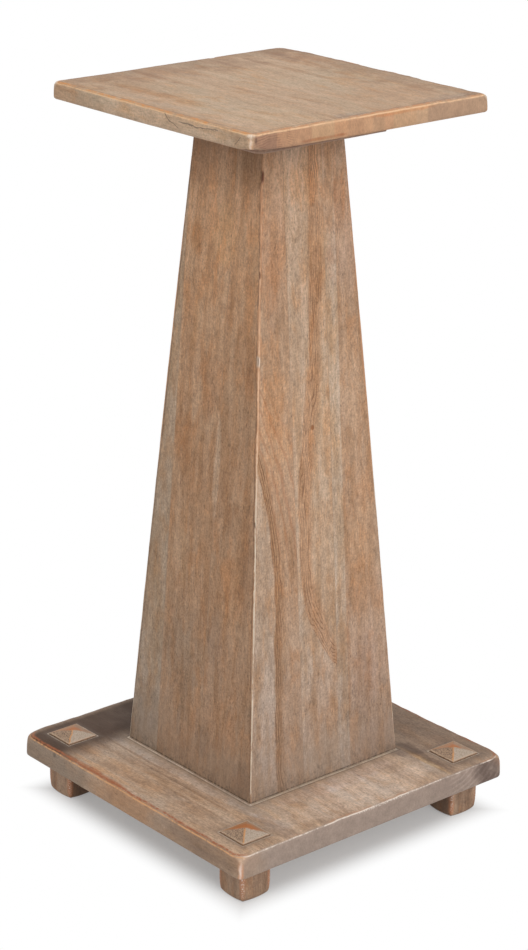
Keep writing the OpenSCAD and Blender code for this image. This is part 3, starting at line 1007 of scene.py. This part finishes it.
def baseMaterial(low, high, places, stud):
    material, point, split = startMaterial("baseWood")
    toX, toY, toTop, toUnder = distances(split, low, high)
    color, height, cloud, fibre = weathered(point, 0, 6.1, baseLook)
    onTop = fall(toTop, 1.0 * mm, 3.0 * mm)
    color = patches(color, point, split[0], split[1], basePatches, 6.4, onTop)
    onSide = fall(toY, 1.5 * mm, 4 * mm)
    color = mix(onSide * 0.42, color, "917660")
    color = patches(color, point, split[0], split[2], baseSidePatches, 7.4, onSide)
    end = fall(toX, 1.5 * mm, 4 * mm)
    rings = endRings(point, split, (0.09, high.z + 0.03), 5.5 * mm, 4.5)
    ringShare = rise(split[1], 0.09, 0.12) * 0.4
    endColor = mix(rings * ringShare, mix(cloud, "9c8a7b", "a89688"), "c0ada0")
    speck = noiseAt(point, (0.0018, 0.0018, 0.0022), 7.7, 2.0, 0.7)
    blot = noiseAt(point, (0.01, 0.01, 0.008), 8.7, 3.0, 0.6)
    endColor = tone(endColor, 0.45 + speck * 0.55 + blot * 0.55)
    endColor = patches(endColor, point, split[1], split[2], baseEndPatches, 8.4)
    color = mix(end, color, endColor)
    gap = calc("MAXIMUM", abs(split[0]), abs(split[1])) - columnFoot
    # darker round the column's foot: grime with painted shade at the joint
    color = mix(rise(gap - cloud * 0.02, -0.012, 0.01, 0.5, 0.0) * onTop, color, "8b7b6d")
    # two sides get painted shade where the column keeps the light off, and are browner with old grime where
    # they get less cleaning
    shaded = rise(split[0], -0.125, -0.085, 0.95, 0.0) + rise(split[1], 0.085, 0.13, 0.0, 0.47)
    shaded = shaded * rise(toX, 2 * mm, 14 * mm, 0.45, 1.0) * onTop * rise(cloud, 0.2, 0.6, 0.88, 1.0)
    color = mix(calc("MINIMUM", shaded, 0.96), color, "38200c")
    ragged = band(gap, 3.0 * mm, 1.2 * mm, 1.0 * mm) * rise(fibre, 0.36, 0.6, 0.15, 0.8) * onTop
    color = mix(ragged, color, "5c4e43")
    thin = noiseAt(point, 0.012, 9.9, 3.0, 0.7)
    color = mix(band(gap, 0.8 * mm, 1.0 * mm, 0.7 * mm) * onTop * rise(thin, 0.4, 0.58, 0.35, 0.95), color,
                "ded0bd")
    for middle in places.values():
        around = squareGap(split, middle, stud)
        # round each stud: a darker halo of grime and painted shade, then a painted shadow line in the gap at
        # its foot
        color = mix(rise(around, 0.0, 9 * mm, 0.5, 0.0) * onTop, color, "6f6157")
        color = mix(rise(around, 0.2 * mm, 0.9 * mm, 0.85, 0.0) * onTop, color, "3f342c")
        lip = band(around, 1.7 * mm, 1.0 * mm, 0.8 * mm) * rise(fibre, 0.36, 0.56, 0.25, 0.9)
        color = mix(lip * onTop, color, "c9b8a6")
    toEdge = roundedGap(toX, toY, 16 * mm)
    aside = toX - toY
    byFront = rise(aside, -9 * mm, 0.0)
    byEnd = fall(aside, -6 * mm, 3 * mm)
    color = edgeBands(color, point, toEdge, toTop, baseEdges["side"], 4.9, byEnd)
    color = edgeBands(color, point, toEdge, toTop, baseEdges["front"], 3.3, byFront)
    chips = band(toTop - toX, 0.5 * mm, 3.2 * mm, 1.5 * mm) * end
    chips = chips * band(split[1], 0.012, 0.075, 0.03) * rise(fibre, 0.5, 0.6, 0.0, 0.8)
    color = mix(chips, color, "e9dccf")
    # the upright corners are rubbed orange, with a pale painted highlight up each corner
    color = cornerWearAndHighlight(color, toX, toY, point, "c48e6c", 7.0 * mm, 8.1)
    color = cornerWearAndHighlight(color, toX, toY, point, "e6d3c6", 2.6 * mm, 6.1)
    tip = rise(toX + toY + toTop, 10 * mm, 24 * mm, 0.45, 0.0) * rise(cloud, 0.3, 0.6, 0.5, 1.0)
    color = mix(tip, color, "b08a70")
    return finishMaterial(material, color, height, dullness(cloud))


postLook = dict(columnLook, light="a88a72", dark="876a54", warm="a5764f", wash=0.25, contrast=0.8)


def postMaterial(name, middle, stud, under, over, seed):
    material, point, split = startMaterial(name + "Wood")
    color, height, cloud, fibre = weathered(point, 2, seed, postLook)
    x = split[0] - middle.x
    y = split[1] - middle.y
    above = rise(split[2], over + 0.3 * mm, over + 0.9 * mm)
    speck = rise(noiseAt(point, 0.0014, seed + 1, 2.0, 0.65), 0.42, 0.62)
    spread = (noiseAt(point, 0.007, seed + 2) - 0.5) * 0.01
    absX, absY = abs(x), abs(y)
    # each of the four faces has its own tint: speckled to the front, paler to the right, orange behind
    onRight = rise(x - absY, -0.3 * mm, 0.6 * mm)
    onLeft = rise(x * -1.0 - absY, -0.3 * mm, 0.6 * mm)
    onBack = rise(y - absX, -0.3 * mm, 0.6 * mm)
    crownColor = mix(speck * 0.75, "ab9078", "5f4c3e")
    for share, specks, light, dark in ((onRight, 0.45, "b9a897", "84715f"), (onLeft, 0.3, "b98a66", "8c6448"),
                                       (onBack, 0.3, "ab8a70", "876a56")):
        crownColor = mix(share, crownColor, mix(speck * specks, light, dark))
    toPoint = calc("SQRT", x * x + y * y)
    behind = rise(y - x + spread, -0.003, 0.002)
    bare = 0.010 if middle.x > 0 > middle.y else 0.005  # the near stud is rubbed the most
    warm = behind * rise(toPoint + spread, bare, bare + 0.007, 0.9, 0.0)
    crownColor = mix(warm, crownColor, "b97545")
    hip = band(x + y + spread * 0.4, 0.0, 2.2 * mm, 1.6 * mm)
    hip = hip * rise(x - y, 0.0, 0.004) * rise(speck, 0.2, 0.8, 1.0, 0.5)
    crownColor = mix(hip * 0.9, crownColor, "cf935c")
    brink = stud - calc("MAXIMUM", absX, absY)
    worn = rise(spread + fibre, 0.35, 0.6, 0.15, 0.8)
    crownColor = mix(fall(brink, 0.6 * mm, 1.8 * mm) * worn, crownColor, "c7ad94")
    color = mix(above, color, crownColor)
    # foot: painted shade just under the board and on the inner faces turned in under it, worn on the upright
    # edges and down at the floor
    underBoardShade = rise(under - split[2], 0.5 * mm, 7 * mm, 0.75, 0.0)
    below = fall(split[2], under, under + 0.5 * mm)
    color = mix(underBoardShade * below, color, "4c3b30")
    # the inner faces, turned in under the board, get painted shade
    shadeOnInner = rise(x * -math.copysign(1, middle.x), stud - 1.5 * mm, stud, 0.0, 0.6)
    shadeOnInnerY = rise(y * -math.copysign(1, middle.y), stud - 1.5 * mm, stud, 0.0, 0.6)
    color = mix(calc("MAXIMUM", shadeOnInner, shadeOnInnerY) * below, color, "5a4638")
    toSides = [stud + 0.5 * mm - abs(value) for value in (x, y)]
    edge = toSides[0] + toSides[1] + (fibre - 0.5) * 0.004
    rub = rise(edge, 1.5 * mm, 5 * mm, 0.7, 0.0)
    color = mix(rub * below * rise(cloud, 0.4, 0.55, 0.4, 1.0), color, "bd805c")
    chalky = rise(edge, 0.5 * mm, 2.6 * mm, 0.8, 0.0) * rise(speck, 0.55, 0.95) * below
    color = mix(chalky, color, "ddd0c4")
    return finishMaterial(material, color, height, dullness(cloud))


def makeCamera():
    turn, tilt, roll = (math.radians(viewpoint[k]) for k in ("azimuth", "elevation", "roll"))
    back = Vector((math.sin(turn) * math.cos(tilt), -math.cos(turn) * math.cos(tilt), math.sin(tilt)))
    level = Vector((math.cos(turn), math.sin(turn), 0))
    upward = back.cross(level)
    side = level * math.cos(roll) + upward * math.sin(roll)
    top = upward * math.cos(roll) - level * math.sin(roll)
    data = bpy.data.cameras.new("camera")
    data.lens = viewpoint["lens"]
    data.sensor_width = viewpoint["sensor"]
    camera = bpy.data.objects.new("camera", data)
    bpy.context.scene.collection.objects.link(camera)
    place = level * viewpoint["aimAside"] + Vector((0, 0,
                                                    viewpoint["aimHeight"])) + back * viewpoint["distance"]
    camera.matrix_world = Matrix.Translation(place) @ Matrix((side, top, back)).transposed().to_4x4()
    bpy.context.scene.camera = camera


def makeLights():
    for name, sun in suns.items():
        turn, tilt = math.radians(sun["azimuth"]), math.radians(sun["height"])
        data = bpy.data.lights.new(name, "SUN")
        data.energy = sun["strength"]
        data.angle = math.radians(sun["width"])
        lamp = bpy.data.objects.new(name, data)
        back = Vector((math.sin(turn) * math.cos(tilt), -math.cos(turn) * math.cos(tilt), math.sin(tilt)))
        lamp.rotation_euler = back.to_track_quat("Z", "Y").to_euler()
        bpy.context.scene.collection.objects.link(lamp)
    world = bpy.data.worlds.new("studio")
    world.use_nodes = True
    bpy.context.scene.world = world
    seen = seenDirectly(world.node_tree)
    light = fill(addNode("Background", seen), {"Color": sky["color"], "Strength": sky["strength"]})
    white = fill(addNode("Background", seen), {"Color": (1, 1, 1, 1)})
    put(mixShader(seen, light, white), addNode("OutputWorld", seen).inputs["Surface"])


def seenDirectly(tree):  # empties the tree; one where a camera ray or a reflected one meets the surface
    tree.nodes.clear()
    rays = tree.nodes.new("ShaderNodeLightPath").outputs
    seen = calc("MAXIMUM", Field(rays["Is Camera Ray"]), Field(rays["Is Glossy Ray"]))
    return calc("MAXIMUM", seen, Field(rays["Is Transmission Ray"]))


def mixShader(share, first, second):
    return fill(addNode("MixShader", share), {0: share, 1: first, 2: second})


def makeFloor():
    bm = bmesh.new()
    bmesh.ops.create_circle(bm, cap_ends=True, segments=96, radius=ground["radius"])
    mesh = bpy.data.meshes.new("floor")
    bm.to_mesh(mesh)
    bm.free()
    floor = bpy.data.objects.new("floor", mesh)
    bpy.context.scene.collection.objects.link(floor)
    material = bpy.data.materials.new("paleFloor")
    material.use_nodes = True
    seen = seenDirectly(material.node_tree)
    matt = fill(addNode("BsdfDiffuse", seen), {"Color": ground["color"]})
    bright = fill(addNode("BsdfDiffuse", seen), {"Color": ground["seen"]})
    glow = fill(addNode("Emission", seen), {"Strength": ground["glow"]})
    lit = fill(addNode("AddShader", seen), {0: bright, 1: glow})
    white = fill(addNode("Emission", seen), {})
    x, y, z = takenApart(Field(addNode("TexCoord", seen).outputs["Object"]))
    away = rise(calc("MAXIMUM", abs(x), abs(y)), *ground["clear"])
    faded = mixShader(away, lit, white)
    put(mixShader(seen, matt, faded), addNode("OutputMaterial", seen).inputs["Surface"])
    floor.data.materials.append(material)


makeCamera()
makeLights()
makeFloor()
makeTopBoard()
makeMountPlate()
for sideName, side in sides.items():
    makePanel("panel" + sideName.capitalize(), "panel_" + sideName, side["turn"], side)
makeBaseBoard()
for number, (end, side) in enumerate((e, s) for e in ("front", "back") for s in ("left", "right")):
    makePost("post" + end.capitalize() + side.capitalize(), "post_" + end + "_" + side, 1.9 + 3.3 * number)
bpy.context.scene.view_settings.view_transform = "Standard"
